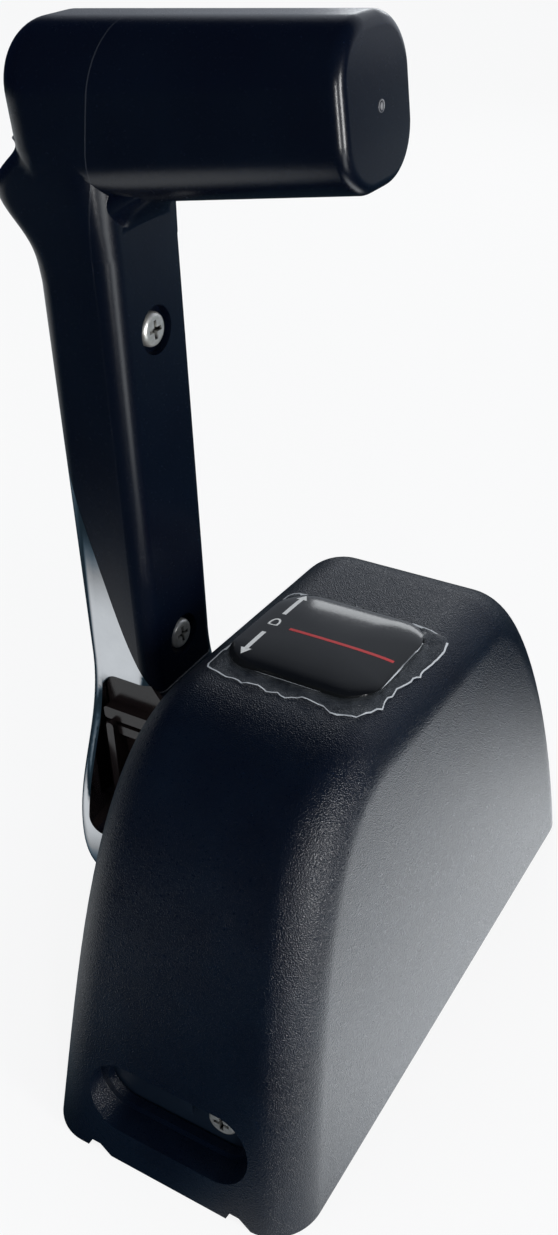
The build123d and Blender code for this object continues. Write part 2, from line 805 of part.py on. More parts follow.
with BuildPart() as cable_caps:
    for place in clamp_places:
        with BuildSketch(Plane.XZ.offset(-clamp_y - clamp_length / 2)):
            with Locations((place, cable_z + cap_gap + cap_height / 2)):
                RectangleRounded(clamp_width, cap_height, 1.2)
            with Locations((place, cable_z)):
                Circle(cable_radius, mode=Mode.SUBTRACT)
        extrude(amount=clamp_length)
        with BuildSketch(Plane.XY.offset(cable_z)):
            with Locations((place - 6.5, clamp_y), (place + 6.5, clamp_y)):
                Circle(clamp_screw_radius)
        extrude(amount=20, mode=Mode.SUBTRACT)
finish(cable_caps, "cable_caps")

with BuildPart() as clamp_screws:
    for place in clamp_places:
        for side in (-6.5, 6.5):
            add(pan_screw(
                Plane(origin=(place + side, clamp_y, cable_z + cap_gap + cap_height), x_dir=(1, 0, 0)),
                2.3, 1.6, clamp_screw_radius, cap_height + cap_gap + clamp_bite,
            ))
finish(clamp_screws, "clamp_screws")


# ---------------------------------------------------------------- lever arm form
neck_z = pivot_z + 58.0
arm_top_z = 226.0


def arm_form():
    """Plain lever arm with its round hub, before it is parted into its metal and its covers."""
    with BuildPart() as form:
        with BuildSketch(Plane.YZ.offset(arm_outer_x)):
            with BuildLine():
                ThreePointArc(
                    (pivot_y + hub_radius, pivot_z),
                    (pivot_y, pivot_z - hub_radius),
                    (pivot_y - hub_radius, pivot_z),
                )
                Spline(
                    (pivot_y - hub_radius, pivot_z), (pivot_y - arm_half_width, neck_z),
                    tangents=((0, 1), (0, 1)),
                )
                Polyline(
                    (pivot_y - arm_half_width, neck_z),
                    (pivot_y - arm_half_width, arm_top_z),
                    (pivot_y + arm_half_width, arm_top_z),
                    (pivot_y + arm_half_width, neck_z),
                )
                Spline(
                    (pivot_y + arm_half_width, neck_z), (pivot_y + hub_radius, pivot_z),
                    tangents=((0, -1), (0, -1)),
                )
            make_face()
        extrude(amount=arm_inner_x - arm_outer_x)
        for side in (0, -1):
            rim = form.faces().sort_by(Axis.X)[side].edges()
            fillet(rim.filter_by(lambda edge: edge.center().Z < arm_top_z - 1), arm_edge)
    return form.part


parting_points = ((-76.0, 192.0), (-66.4, 155.7), (-57.8, 122.1), (-51.5, 103.0), (-40.0, 86.0))


def metal_side(gap):
    """Region on the metal's side of the parting curve between the lever arm and its covers."""
    points = [(x + gap, z + gap) for x, z in parting_points]
    with BuildPart() as region:
        with BuildSketch(Plane.XZ.offset(-60)):
            with BuildLine():
                Spline(*points)
                Polyline(points[-1], (points[-1][0], -20), (points[0][0], -20), points[0])
            make_face()
        extrude(amount=130)
    return region.part


arm_solid = arm_form()
metal_region = metal_side(0)
cover_region = metal_side(joint_gap)
screw_floor_x = arm_inner_x - cover_sink

# ---------------------------------------------------------------- lever arm
button_bore_end = -58.5
insert_gap = 0.3
window_back_y = pivot_y - window_depth
with BuildPart() as lever_arm:
    add(arm_solid.intersect(metal_region))
    # boss towards the housing
    with BuildSketch(Plane.YZ.offset(arm_inner_x - 1)):
        with Locations((pivot_y, pivot_z)):
            Circle(hub_boss_radius)
    extrude(amount=hub_boss_x - arm_inner_x + 1)
    # shaft socket, button bore and set-screw hole
    with BuildSketch(Plane.YZ.offset(hub_boss_x)):
        with Locations((pivot_y, pivot_z)):
            Circle(shaft_radius)
    extrude(amount=-40, mode=Mode.SUBTRACT)
    with BuildSketch(Plane.YZ.offset(button_bore_end)):
        with Locations((pivot_y, pivot_z)):
            Circle(button_radius + button_clearance)
    extrude(amount=-40, mode=Mode.SUBTRACT)
    with BuildSketch(Plane.XY.offset(pivot_z)):
        with Locations((-50, pivot_y)):
            Circle(2.5)
    extrude(amount=-60, mode=Mode.SUBTRACT)
    # window in the front of the hub
    with BuildSketch(Plane.XZ.offset(-window_back_y)):
        with Locations(((window_outer_x - 40) / 2, (window_low + window_high) / 2)):
            RectangleRounded(-40 - window_outer_x, window_high - window_low, 5)
    extrude(amount=40, mode=Mode.SUBTRACT)
    # tongue inside the covers
tongue_outer_x = -62.0
tongue_inner_x = -54.0
tongue_half = 8.0
tongue_top_z = 205.0
with BuildPart() as tongue_form:
    with BuildSketch(Plane.YZ.offset(tongue_outer_x)):
        with Locations((pivot_y, (100 + tongue_top_z) / 2)):
            RectangleRounded(2 * tongue_half, tongue_top_z - 100, 3)
    extrude(amount=tongue_inner_x - tongue_outer_x)
with BuildPart() as lever_arm_whole:
    add(lever_arm.part)
    add(tongue_form.part)
    with BuildSketch(Plane.YZ.offset(tongue_inner_x - 6)):
        for height in cover_screw_z:
            with Locations((pivot_y, height)):
                Circle(cover_screw_radius)
    extrude(amount=40, mode=Mode.SUBTRACT)
finish(lever_arm_whole, "lever_arm")

# ---------------------------------------------------------------- insert in the hub's window
with BuildPart() as hub_insert:
    with BuildSketch(Plane.XZ.offset(-window_back_y)):
        with Locations(((window_outer_x - 40) / 2, (window_low + window_high) / 2)):
            RectangleRounded(
                -40 - window_outer_x - 2 * insert_gap, window_high - window_low - 2 * insert_gap, 5 - insert_gap)
    extrude(amount=1.5)
    # ledge across the top and rib down the outer side
    with BuildSketch(Plane.XZ.offset(-window_back_y + 1)):
        with Locations(((window_outer_x - 42) / 2, window_high - 12)):
            RectangleRounded(-44 - window_outer_x, 4, 1)
        with Locations(((window_outer_x - 42) / 2, window_high - 17)):
            RectangleRounded(-44 - window_outer_x, 3, 1)
    extrude(amount=4)
    with BuildSketch(Plane.XZ.offset(-window_back_y + 1)):
        with Locations((window_outer_x + 4, (window_low + window_high) / 2 - 5)):
            RectangleRounded(2.4, window_high - window_low - 18, 1)
    extrude(amount=6)
    add(metal_region, mode=Mode.INTERSECT)
finish(hub_insert, "hub_insert")

# ---------------------------------------------------------------- inner lever cover
seam_x = arm_inner_x - cover_thickness
with BuildPart() as cover_slab:
    with BuildSketch(Plane.YZ.offset(seam_x)):
        with BuildLine():
            Polyline(
                (pivot_y - arm_half_width - 20, 20),
                (pivot_y - arm_half_width - 20, cover_top_z - arm_half_width * 0.5),
            )
            ThreePointArc(
                (pivot_y - arm_half_width - 20, cover_top_z - arm_half_width * 0.5),
                (pivot_y, cover_top_z),
                (pivot_y + arm_half_width + 20, cover_top_z - arm_half_width * 0.5),
            )
            Polyline(
                (pivot_y + arm_half_width + 20, cover_top_z - arm_half_width * 0.5),
                (pivot_y + arm_half_width + 20, 20),
                (pivot_y - arm_half_width - 20, 20),
            )
        make_face()
    extrude(amount=cover_thickness + 5)

arm_cover_form = arm_solid.intersect(cover_slab.part)
with BuildPart() as lever_cover:
    add(arm_cover_form)
    add(cover_region, mode=Mode.SUBTRACT)
    with BuildSketch(Plane.YZ.offset(screw_floor_x)):
        for height in cover_screw_z:
            with Locations((pivot_y, height)):
                Circle(cover_head_radius + 1.8)
    extrude(amount=10, mode=Mode.SUBTRACT)
    with BuildSketch(Plane.YZ.offset(seam_x - 1)):
        for height in cover_screw_z:
            with Locations((pivot_y, height)):
                Circle(cover_screw_radius)
    extrude(amount=10, mode=Mode.SUBTRACT)
finish(lever_cover, "lever_cover")

with BuildPart() as cover_screw_pair:
    for height in cover_screw_z:
        add(pan_screw(
            Plane(origin=(screw_floor_x, pivot_y, height), x_dir=(0, 1, 0), z_dir=(1, 0, 0)),
            cover_head_radius, 2.3, cover_screw_radius, 9.0,
        ))
finish(cover_screw_pair, "lever_cover_screws")

# ---------------------------------------------------------------- handle: grip and outer half
tilt = math.radians(grip_tilt)
axis_x = math.cos(tilt)
axis_z = math.sin(tilt)
grip_length = (grip_end_x - grip_root_x) / axis_x
head_reach = 14.7
head_edge = 9.0


def grip_plane(along):
    """Plane square to the grip's axis, at a distance along it from the lever arm."""
    return Plane(
        origin=(grip_root_x + along * axis_x, pivot_y, grip_z + along * axis_z),
        x_dir=(0, 1, 0),
        z_dir=(axis_x, 0, axis_z),
    )


def grip_scale(along):
    """Size of the grip's section there, against its size at the free end."""
    return 1 + (grip_taper - 1) * (grip_length - along) / grip_length


with BuildPart() as tee_form:
    for along in (-head_reach, grip_length):
        scale_here = grip_scale(along)
        with BuildSketch(grip_plane(along)):
            RectangleRounded(grip_depth * scale_here, grip_height * scale_here, grip_corner * scale_here)
    loft()
    fillet(tee_form.faces().sort_by(Axis.X)[-1].edges(), grip_end_edge)
    fillet(tee_form.faces().sort_by(Axis.X)[0].edges(), head_edge)

under_z = grip_z - grip_height * grip_taper / 2

# sections of the neck, from the arm up into the head: drop below the grip's axis, flare past the arm's
# outer face, extra half width and corner radius
neck_sections = (
    (48.6, 0.0, 0.0, 5.5),
    (38.6, -0.1, 0.0, 5.5),
    (30.6, 1.1, 0.4, 5.8),
    (23.6, 5.5, 1.1, 6.5),
    (16.6, 9.6, 1.7, 7.2),
    (10.6, 6.0, 1.9, 7.5),
    (4.6, 2.6, 1.9, 7.5),
)
with BuildPart() as neck_form:
    for drop, flare, extra, corner in neck_sections:
        with BuildSketch(Plane.XY.offset(grip_z - drop)):
            with Locations(((arm_outer_x - flare + arm_inner_x) / 2, pivot_y)):
                RectangleRounded(arm_inner_x - arm_outer_x + flare, 2 * (arm_half_width + extra), corner)
    loft()

# sections of the web that rounds the arm's inner face into the grip's underside: drop below the grip's
# axis, reach past the arm's inner face, narrowing of the half width and corner radius
web_sections = (
    (34.6, -0.6, 0.7, 5.5),
    (27.6, -0.6, 0.7, 6.5),
    (23.6, 0.4, 0.9, 8.0),
    (19.2, 5.2, 1.6, 9.6),
    (15.1, 12.9, 3.0, 10.5),
    (10.6, 21.5, 4.5, 10.0),
)
web_back_x = arm_outer_x + 3.5
with BuildPart() as web_form:
    for drop, reach, narrowing, corner in web_sections:
        with BuildSketch(Plane.XY.offset(grip_z - drop)):
            with Locations(((web_back_x + arm_inner_x + reach) / 2, pivot_y)):
                RectangleRounded(
                    arm_inner_x + reach - web_back_x, 2 * (arm_half_width - narrowing), corner)
    loft()

# parting curve between the grip's own half and the outer half, from low on the arm to above the head
seam_points = (
    (seam_x, pivot_z + 17.0),
    (seam_x, grip_z - 32.6),
    (seam_x + 3.2, grip_z - 6.6),
    (seam_x + 6.5, grip_z + 13.4),
    (seam_x + 12.5, grip_z + 35.4),
)
with BuildPart() as back_region:
    with BuildSketch(Plane.XZ.offset(-60)):
        with BuildLine():
            Line(seam_points[0], seam_points[1])
            Spline(*seam_points[1:], tangents=((0, 1), (0.3, 1)))
            Polyline(seam_points[-1], (-120, seam_points[-1][1]), (-120, seam_points[0][1]), seam_points[0])
        make_face()
    extrude(amount=130)

with BuildPart() as handle_form:
    add(arm_solid)
    add(cover_region, mode=Mode.SUBTRACT)
    add(neck_form.part)
    add(web_form.part)
    add(tee_form.part)

switch_clear = 1.2
pocket_depth = 7.0
switch_depth = 10.0
pin_radius = 1.0
head_plane = grip_plane(-head_reach)
rocker_plane = Plane(
    origin=head_plane.origin, x_dir=(axis_x, 0, axis_z), z_dir=(0, -1, 0))
pin_inset = 2.0
rocker_hollow = 0.9
rocker_lift = 2.2

with BuildPart() as handle_back:
    add(handle_form.part.intersect(back_region.part))
    add(tongue_form.part, mode=Mode.SUBTRACT)
    add(arm_cover_form, mode=Mode.SUBTRACT)
    with BuildSketch(Plane.YZ.offset(tongue_outer_x)):
        for height in cover_screw_z:
            with Locations((pivot_y, height)):
                Circle(cover_screw_radius)
    extrude(amount=-tongue_outer_x, mode=Mode.SUBTRACT)
    # pocket for the trim switch in the outer end of the head
    with BuildSketch(head_plane):
        RectangleRounded(rocker_width + 2 * switch_clear, rocker_height + 2 * switch_clear, 2)
    extrude(amount=pocket_depth, mode=Mode.SUBTRACT)
    with BuildSketch(head_plane):
        Rectangle(rocker_width, rocker_height - 2)
    extrude(amount=pocket_depth + switch_depth, mode=Mode.SUBTRACT)
    with BuildSketch(head_plane):
        RectangleRounded(rocker_width + 2 * switch_clear, rocker_height + 2 * switch_clear, 2)
    extrude(amount=-10, mode=Mode.SUBTRACT)
    with BuildSketch(rocker_plane.offset(-rocker_width / 2 - 3)):
        with Locations((pin_inset, 0)):
            Circle(pin_radius)
    extrude(amount=rocker_width + 6, mode=Mode.SUBTRACT)
finish(handle_back, "handle_back")

with BuildPart() as grip:
    add(handle_form.part)
    add(back_region.part, mode=Mode.SUBTRACT)
    add(arm_cover_form, mode=Mode.SUBTRACT)
    add(tongue_form.part, mode=Mode.SUBTRACT)
    # below the head the inner half is the lever cover alone
    with BuildSketch(Plane.XY.offset(pivot_z)):
        with Locations((arm_inner_x - cover_thickness, pivot_y)):
            Rectangle(6 * cover_thickness, 4 * arm_half_width)
    extrude(amount=cover_top_z - 6 - pivot_z, mode=Mode.SUBTRACT)
finish(grip, "grip")

# ---------------------------------------------------------------- trim rocker, its pin and its switch
with BuildPart() as trim_rocker:
    with BuildSketch(rocker_plane.offset(-rocker_width / 2)):
        with BuildLine():
            ThreePointArc(
                (-rocker_stand_high, rocker_height / 2 - 1),
                (-(rocker_stand_high + rocker_stand_low) / 2 + rocker_hollow, 0),
                (-rocker_stand_low, -rocker_height / 2 + 1),
            )
            Polyline(
                (-rocker_stand_low, -rocker_height / 2 + 1),
                (-rocker_stand_low + 1.2, -rocker_height / 2),
                (pocket_depth - rocker_lift, -rocker_height / 2 + 3),
                (pocket_depth - rocker_lift, rocker_height / 2 - 3),
                (-rocker_stand_high + 1.2, rocker_height / 2),
                (-rocker_stand_high, rocker_height / 2 - 1),
            )
        make_face()
        with Locations((pin_inset, 0)):
            Circle(pin_radius + shaft_clearance, mode=Mode.SUBTRACT)
    extrude(amount=rocker_width)
finish(trim_rocker, "trim_rocker")

with BuildPart() as rocker_pin:
    with BuildSketch(rocker_plane.offset(-rocker_width / 2 - 3)):
        with Locations((pin_inset, 0)):
            Circle(pin_radius)
    extrude(amount=rocker_width + 6)
finish(rocker_pin, "rocker_pin")

with BuildPart() as trim_switch_body:
    with BuildSketch(head_plane.offset(pocket_depth)):
        Rectangle(rocker_width, rocker_height - 2)
    extrude(amount=switch_depth)
finish(trim_switch_body, "trim_switch_body")

# ---------------------------------------------------------------- throttle-only button
button_length = 8.0
button_out_x = arm_outer_x - button_stand
with BuildPart() as throttle_button:
    with BuildSketch(Plane.YZ.offset(button_out_x)):
        with Locations((pivot_y, pivot_z)):
            Circle(button_radius)
    extrude(amount=button_length)
    fillet(throttle_button.faces().sort_by(Axis.X)[0].edges(), 1.4)
    with BuildSketch(Plane.YZ.offset(button_out_x)):
        with Locations((pivot_y, pivot_z)):
            Circle(button_radius - 3)
    extrude(amount=0.5, mode=Mode.SUBTRACT)
finish(throttle_button, "throttle_button")

with BuildPart() as button_ring:
    with BuildSketch(Plane.YZ.offset(arm_outer_x)):
        with Locations((pivot_y, pivot_z)):
            Circle(button_radius + button_clearance + 3)
            Circle(button_radius + button_clearance, mode=Mode.SUBTRACT)
    extrude(amount=-1.2)
    chamfer(button_ring.faces().sort_by(Axis.X)[0].edges().sort_by(SortBy.LENGTH)[-1], 0.5)
finish(button_ring, "button_ring")

with BuildPart() as button_spring:
    add(coil_spring(
        Vector(button_bore_end, pivot_y, pivot_z), Vector(-1, 0, 0),
        button_bore_end - button_out_x - button_length - 0.1, 7.4, 0.5, 3,
    ))
finish(button_spring, "button_spring")

# ---------------------------------------------------------------- hub set screw and shaft spacer
with BuildPart() as hub_set_screw:
    with BuildSketch(Plane.XY.offset(pivot_z - shaft_radius)):
        with Locations((-50, pivot_y)):
            Circle(2.5)
    extrude(amount=-16)
    with BuildSketch(Plane.XY.offset(pivot_z - shaft_radius - 16)):
        with Locations((-50, pivot_y)):
            RegularPolygon(1.4, 6)
    extrude(amount=3, mode=Mode.SUBTRACT)
finish(hub_set_screw, "hub_set_screw")

with BuildPart() as shaft_spacer:
    with BuildSketch(Plane.YZ.offset(-cheek_inside + bush_flange + 0.3)):
        with Locations((pivot_y, pivot_z)):
            Circle(shaft_radius + 1.5)
            Circle(shaft_radius, mode=Mode.SUBTRACT)
    extrude(amount=cheek_inside - bush_flange - 0.3 - gear_width / 2)
finish(shaft_spacer, "shaft_spacer")
print(len(built), "sub-parts")
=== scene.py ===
"""Console-top boat control: finishes, small fittings, floor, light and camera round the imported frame."""
import json
import math

import bmesh
import bpy
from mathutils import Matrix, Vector


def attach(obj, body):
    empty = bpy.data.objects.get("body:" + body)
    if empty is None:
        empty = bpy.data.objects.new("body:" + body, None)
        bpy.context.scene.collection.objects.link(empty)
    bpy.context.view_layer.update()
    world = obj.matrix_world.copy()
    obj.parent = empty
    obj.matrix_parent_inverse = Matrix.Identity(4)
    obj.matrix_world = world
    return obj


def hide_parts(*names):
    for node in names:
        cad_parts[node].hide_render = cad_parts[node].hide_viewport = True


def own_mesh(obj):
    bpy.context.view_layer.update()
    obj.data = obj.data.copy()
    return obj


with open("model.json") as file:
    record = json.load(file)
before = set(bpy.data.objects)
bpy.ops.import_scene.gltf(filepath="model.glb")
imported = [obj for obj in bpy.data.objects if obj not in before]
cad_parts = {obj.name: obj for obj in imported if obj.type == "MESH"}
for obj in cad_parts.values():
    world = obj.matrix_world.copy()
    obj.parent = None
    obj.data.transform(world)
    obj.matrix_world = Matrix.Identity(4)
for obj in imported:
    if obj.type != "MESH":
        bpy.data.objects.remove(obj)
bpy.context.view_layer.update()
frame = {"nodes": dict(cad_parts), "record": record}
mm = 0.001


# ---------------------------------------------------------------- node helpers
def nodes_of(name):
    """A new finish with its nodes cleared, and its object coordinates."""
    finish = bpy.data.materials.new(name)
    finish.use_nodes = True
    tree = finish.node_tree
    tree.nodes.clear()
    out = tree.nodes.new("ShaderNodeOutputMaterial")
    shell = tree.nodes.new("ShaderNodeBsdfPrincipled")
    place = tree.nodes.new("ShaderNodeTexCoord")
    tree.links.new(shell.outputs["BSDF"], out.inputs["Surface"])
    return finish, tree, shell, place


def ramp(tree, source, low, high, first, last):
    """A colour ramp from the first colour at low to the last colour at high."""
    band = tree.nodes.new("ShaderNodeValToRGB")
    band.color_ramp.elements[0].position = low
    band.color_ramp.elements[1].position = high
    band.color_ramp.elements[0].color = (*first, 1)
    band.color_ramp.elements[1].color = (*last, 1)
    tree.links.new(source, band.inputs["Fac"])
    return band.outputs["Color"]


def span(tree, source, low, high, start=0.0, end=1.0, soft=False):
    """A value carried from start..end to low..high, with soft ends if asked."""
    stretch = tree.nodes.new("ShaderNodeMapRange")
    if soft:
        stretch.interpolation_type = "SMOOTHSTEP"
    stretch.inputs["From Min"].default_value = start
    stretch.inputs["From Max"].default_value = end
    stretch.inputs["To Min"].default_value = low
    stretch.inputs["To Max"].default_value = high
    tree.links.new(source, stretch.inputs["Value"])
    return stretch.outputs["Result"]


def worked(tree, operation, *parts):
    """One step of arithmetic on node values and numbers."""
    step = tree.nodes.new("ShaderNodeMath")
    step.operation = operation
    for socket, part in zip(step.inputs, parts):
        if isinstance(part, float):
            socket.default_value = part
        else:
            tree.links.new(part, socket)
    return step.outputs["Value"]


def tinted(tree, mode, share, first, second):
    """Two colours mixed, by a node value or a number; a colour is a node value or three numbers."""
    mix = tree.nodes.new("ShaderNodeMix")
    mix.data_type = "RGBA"
    mix.blend_type = mode
    if isinstance(share, float):
        mix.inputs["Factor"].default_value = share
    else:
        tree.links.new(share, mix.inputs["Factor"])
    for socket, colour in (("A", first), ("B", second)):
        if isinstance(colour, tuple):
            mix.inputs[socket].default_value = (*colour, 1)
        else:
            tree.links.new(colour, mix.inputs[socket])
    return mix.outputs["Result"]


def speckle(tree, place, scale, detail=3.0, rough=0.5):
    """Noise on object coordinates, with its scale in turns per metre."""
    grain = tree.nodes.new("ShaderNodeTexNoise")
    grain.inputs["Scale"].default_value = scale
    grain.inputs["Detail"].default_value = detail
    grain.inputs["Roughness"].default_value = rough
    tree.links.new(place.outputs["Object"], grain.inputs["Vector"])
    return grain.outputs["Fac"]


def pebbles(tree, place, scale):
    """Rounded cells on object coordinates, like a spark-eroded mould grain."""
    cells = tree.nodes.new("ShaderNodeTexVoronoi")
    cells.feature = "SMOOTH_F1"
    cells.inputs["Scale"].default_value = scale
    cells.inputs["Smoothness"].default_value = 0.6
    tree.links.new(place.outputs["Object"], cells.inputs["Vector"])
    return cells.outputs["Distance"]


def dent(tree, shell, height, depth, strength=1.0, under=None):
    """Bump of a depth in metres, on top of another bump if one is given."""
    bump = tree.nodes.new("ShaderNodeBump")
    bump.inputs["Strength"].default_value = strength
    bump.inputs["Distance"].default_value = depth
    tree.links.new(height, bump.inputs["Height"])
    if under is not None:
        tree.links.new(under, bump.inputs["Normal"])
    tree.links.new(bump.outputs["Normal"], shell.inputs["Normal"])
    return bump.outputs["Normal"]


# ---------------------------------------------------------------- finishes
flow_scale = 45.0
skin_scale = 1400.0
skin_depth = 0.02 * mm


def grained_plastic(name, dark, pale, roughness, cell, depth):
    """Black moulded plastic with a pebble grain and a little dust in it."""
    finish, tree, shell, place = nodes_of(name)
    cells = pebbles(tree, place, cell)
    cloud = speckle(tree, place, 60.0, 4.0)
    dust = speckle(tree, place, 900.0, 2.0, 0.7)
    tree.links.new(ramp(tree, cloud, 0.3, 0.75, dark, pale), shell.inputs["Base Color"])
    tree.links.new(span(tree, dust, roughness - 0.08, roughness + 0.08), shell.inputs["Roughness"])
    first = dent(tree, shell, cells, depth, 0.8)
    dent(tree, shell, dust, depth * 0.5, 0.5, first)
    return finish


def satin_skin(tree, shell, cloud, fine, low, high, ripple):
    """Sheen from low to high roughness over faint flow marks and a fine skin."""
    tree.links.new(span(tree, fine, low, high), shell.inputs["Roughness"])
    first = dent(tree, shell, cloud, ripple, 0.25)
    dent(tree, shell, fine, skin_depth, 0.25, first)


def satin_plastic(name, dark, pale, roughness, ripple):
    """Smooth moulding with faint flow marks and a soft skin."""
    finish, tree, shell, place = nodes_of(name)
    cloud = speckle(tree, place, flow_scale, 5.0)
    fine = speckle(tree, place, skin_scale, 2.0, 0.6)
    tree.links.new(ramp(tree, cloud, 0.3, 0.8, dark, pale), shell.inputs["Base Color"])
    satin_skin(tree, shell, cloud, fine, roughness - 0.05, roughness + 0.07, ripple)
    return finish


def metal(name, dark, pale, roughness, scale, depth, bare=1.0):
    """Bare or plated metal with small changes of tone and sheen."""
    finish, tree, shell, place = nodes_of(name)
    cloud = speckle(tree, place, scale, 5.0, 0.6)
    tree.links.new(ramp(tree, cloud, 0.3, 0.75, dark, pale), shell.inputs["Base Color"])
    tree.links.new(span(tree, cloud, roughness * 0.7, roughness * 1.4), shell.inputs["Roughness"])
    dent(tree, shell, cloud, depth, 0.4)
    shell.inputs["Metallic"].default_value = bare
    return finish


def zinc_screws():
    """Zinc plate, with painted shade in the cross of each head: ambient occlusion darkens the plate colour
    there.
    """
    finish = metal("zinc screws", (0.66, 0.65, 0.60), (0.90, 0.90, 0.88), 0.34, 900.0, 0.03 * mm, 0.84)
    tree = finish.node_tree
    shell = tree.nodes["Principled BSDF"]
    plate = shell.inputs["Base Color"].links[0].from_socket
    # painted shade: ambient occlusion within 1.2 mm darkens the plate colour in each head's cross recess
    recess_occlusion = tree.nodes.new("ShaderNodeAmbientOcclusion")
    recess_occlusion.only_local = True
    recess_occlusion.inputs["Distance"].default_value = 1.2 * mm
    painted_recess_shade = ramp(tree, recess_occlusion.outputs["AO"], 0.45, 0.92, (0.02, 0.02, 0.02), (1.0, 1.0, 1.0))
    tree.links.new(tinted(tree, "MULTIPLY", 1.0, plate, painted_recess_shade), shell.inputs["Base Color"])
    return finish


def soft_rubber(name, dark, pale):
    """Matt rubber with a fine bloom."""
    finish, tree, shell, place = nodes_of(name)
    cloud = speckle(tree, place, 300.0, 4.0)
    tree.links.new(ramp(tree, cloud, 0.3, 0.7, dark, pale), shell.inputs["Base Color"])
    tree.links.new(span(tree, cloud, 0.65, 0.9), shell.inputs["Roughness"])
    dent(tree, shell, cloud, 0.05 * mm, 0.5)
    return finish


def seam_highlight(tree, place):
    """How much painted highlight shows at a point on the moulding seam: 1 on the seam, fading out down the
    neck.
    """
    foot, top = 0.205, 0.285
    inner, outer = -0.052, -0.036
    half_width, edge_width = 0.08 * mm, 0.24 * mm
    fade_foot, fade_top, least = 0.222, 0.245, 0.12
    # share of the height between foot and top, then share of the way from inner to outer
    route = ((0.0, 0.094), (0.1125, 0.094), (0.4375, 0.294), (0.6875, 0.5), (0.9625, 0.8125), (1.0, 0.86))
    apart = tree.nodes.new("ShaderNodeSeparateXYZ")
    tree.links.new(place.outputs["Object"], apart.inputs["Vector"])
    path = tree.nodes.new("ShaderNodeFloatCurve")
    line = path.mapping.curves[0]
    line.points[0].location = route[0]
    line.points[1].location = route[-1]
    for spot in route[1:-1]:
        line.points.new(*spot)
    path.mapping.update()
    tree.links.new(span(tree, apart.outputs["Z"], 0.0, 1.0, foot, top), path.inputs["Value"])
    seam = span(tree, path.outputs["Value"], inner, outer)
    gap = worked(tree, "ABSOLUTE", worked(tree, "SUBTRACT", apart.outputs["X"], seam))
    highlight_band = span(tree, gap, 1.0, 0.0, half_width, edge_width, soft=True)
    fade = span(tree, apart.outputs["Z"], least, 1.0, fade_foot, fade_top)
    return worked(tree, "MULTIPLY", highlight_band, fade)


def lever_moulding():
    """The lever's black plastic, with a painted highlight along the line where its two halves meet."""
    finish, tree, shell, place = nodes_of("lever plastic")
    cloud = speckle(tree, place, flow_scale, 5.0)
    fine = speckle(tree, place, skin_scale, 2.0, 0.6)
    black = ramp(tree, cloud, 0.3, 0.8, (0.0005, 0.0016, 0.0062), (0.0010, 0.0030, 0.0085))
    # painted highlight: a paler line along the seam stands in for light caught on its edge
    black_with_seam_highlight = tinted(tree, "MIX", seam_highlight(tree, place), black, (0.020, 0.023, 0.030))
    tree.links.new(black_with_seam_highlight, shell.inputs["Base Color"])
    satin_skin(tree, shell, cloud, fine, 0.19, 0.31, 0.06 * mm)
    return finish


def ink(name, colour, roughness):
    """Printed ink with a faint unevenness."""
    finish, tree, shell, place = nodes_of(name)
    cloud = speckle(tree, place, 2500.0, 3.0)
    low = tuple(0.86 * part for part in colour)
    tree.links.new(ramp(tree, cloud, 0.3, 0.6, low, colour), shell.inputs["Base Color"])
    tree.links.new(span(tree, cloud, roughness - 0.05, roughness + 0.1), shell.inputs["Roughness"])
    dent(tree, shell, cloud, 0.01 * mm, 0.3)
    return finish


def clear_sheet():
    """Clear protective film with faint wrinkles in it."""
    finish, tree, shell, place = nodes_of("clear film")
    cloud = speckle(tree, place, 500.0, 3.0)
    shell.inputs["Alpha"].default_value = 0.20
    haze = ramp(tree, cloud, 0.3, 0.7, (0.03, 0.035, 0.04), (0.10, 0.11, 0.12))
    tree.links.new(haze, shell.inputs["Base Color"])
    tree.links.new(span(tree, cloud, 0.04, 0.25), shell.inputs["Roughness"])
    dent(tree, shell, cloud, 0.05 * mm, 0.5)
    return finish


finishes = {
    "housing_plastic": grained_plastic(
        "housing grain", (0.0004, 0.0022, 0.0080), (0.0010, 0.0044, 0.0120), 0.30, 2900.0, 0.20 * mm),
    "badge_plastic": satin_plastic(
        "badge gloss", (0.004, 0.0045, 0.005), (0.007, 0.0075, 0.008), 0.10, 0.01 * mm),
    "gasket_rubber": soft_rubber("gasket rubber", (0.012, 0.012, 0.012), (0.03, 0.03, 0.03)),
    "cast_aluminium": metal("cast frame", (0.42, 0.43, 0.45), (0.60, 0.61, 0.63), 0.45, 500.0, 0.1 * mm),
    "plated_steel": zinc_screws(),
    "panel_plastic": satin_plastic(
        "inner panel", (0.003, 0.007, 0.015), (0.006, 0.012, 0.022), 0.35, 0.04 * mm),
    "bush_plastic": satin_plastic(
        "acetal bushes", (0.60, 0.58, 0.50), (0.70, 0.68, 0.60), 0.4, 0.03 * mm),
    "seal_rubber": soft_rubber("seal rubber", (0.010, 0.010, 0.010), (0.02, 0.02, 0.02)),
    "gear_steel": metal(
        "machined steel", (0.30, 0.30, 0.31), (0.46, 0.46, 0.47), 0.32, 700.0, 0.04 * mm),
    "chrome_arm": metal("bright chrome", (0.66, 0.67, 0.69), (0.74, 0.75, 0.77), 0.07, 90.0, 0.02 * mm),
    "lever_plastic": lever_moulding(),
    "insert_plastic": satin_plastic(
        "window insert", (0.010, 0.007, 0.007), (0.030, 0.020, 0.018), 0.20, 0.06 * mm),
    "switch_plastic": satin_plastic(
        "switch plastic", (0.008, 0.008, 0.009), (0.014, 0.014, 0.015), 0.36, 0.03 * mm),
    "button_plastic": satin_plastic(
        "button plastic", (0.010, 0.010, 0.011), (0.018, 0.018, 0.019), 0.25, 0.03 * mm),
    "spring_steel": metal("spring wire", (0.45, 0.45, 0.46), (0.60, 0.60, 0.61), 0.25, 900.0, 0.02 * mm),
}
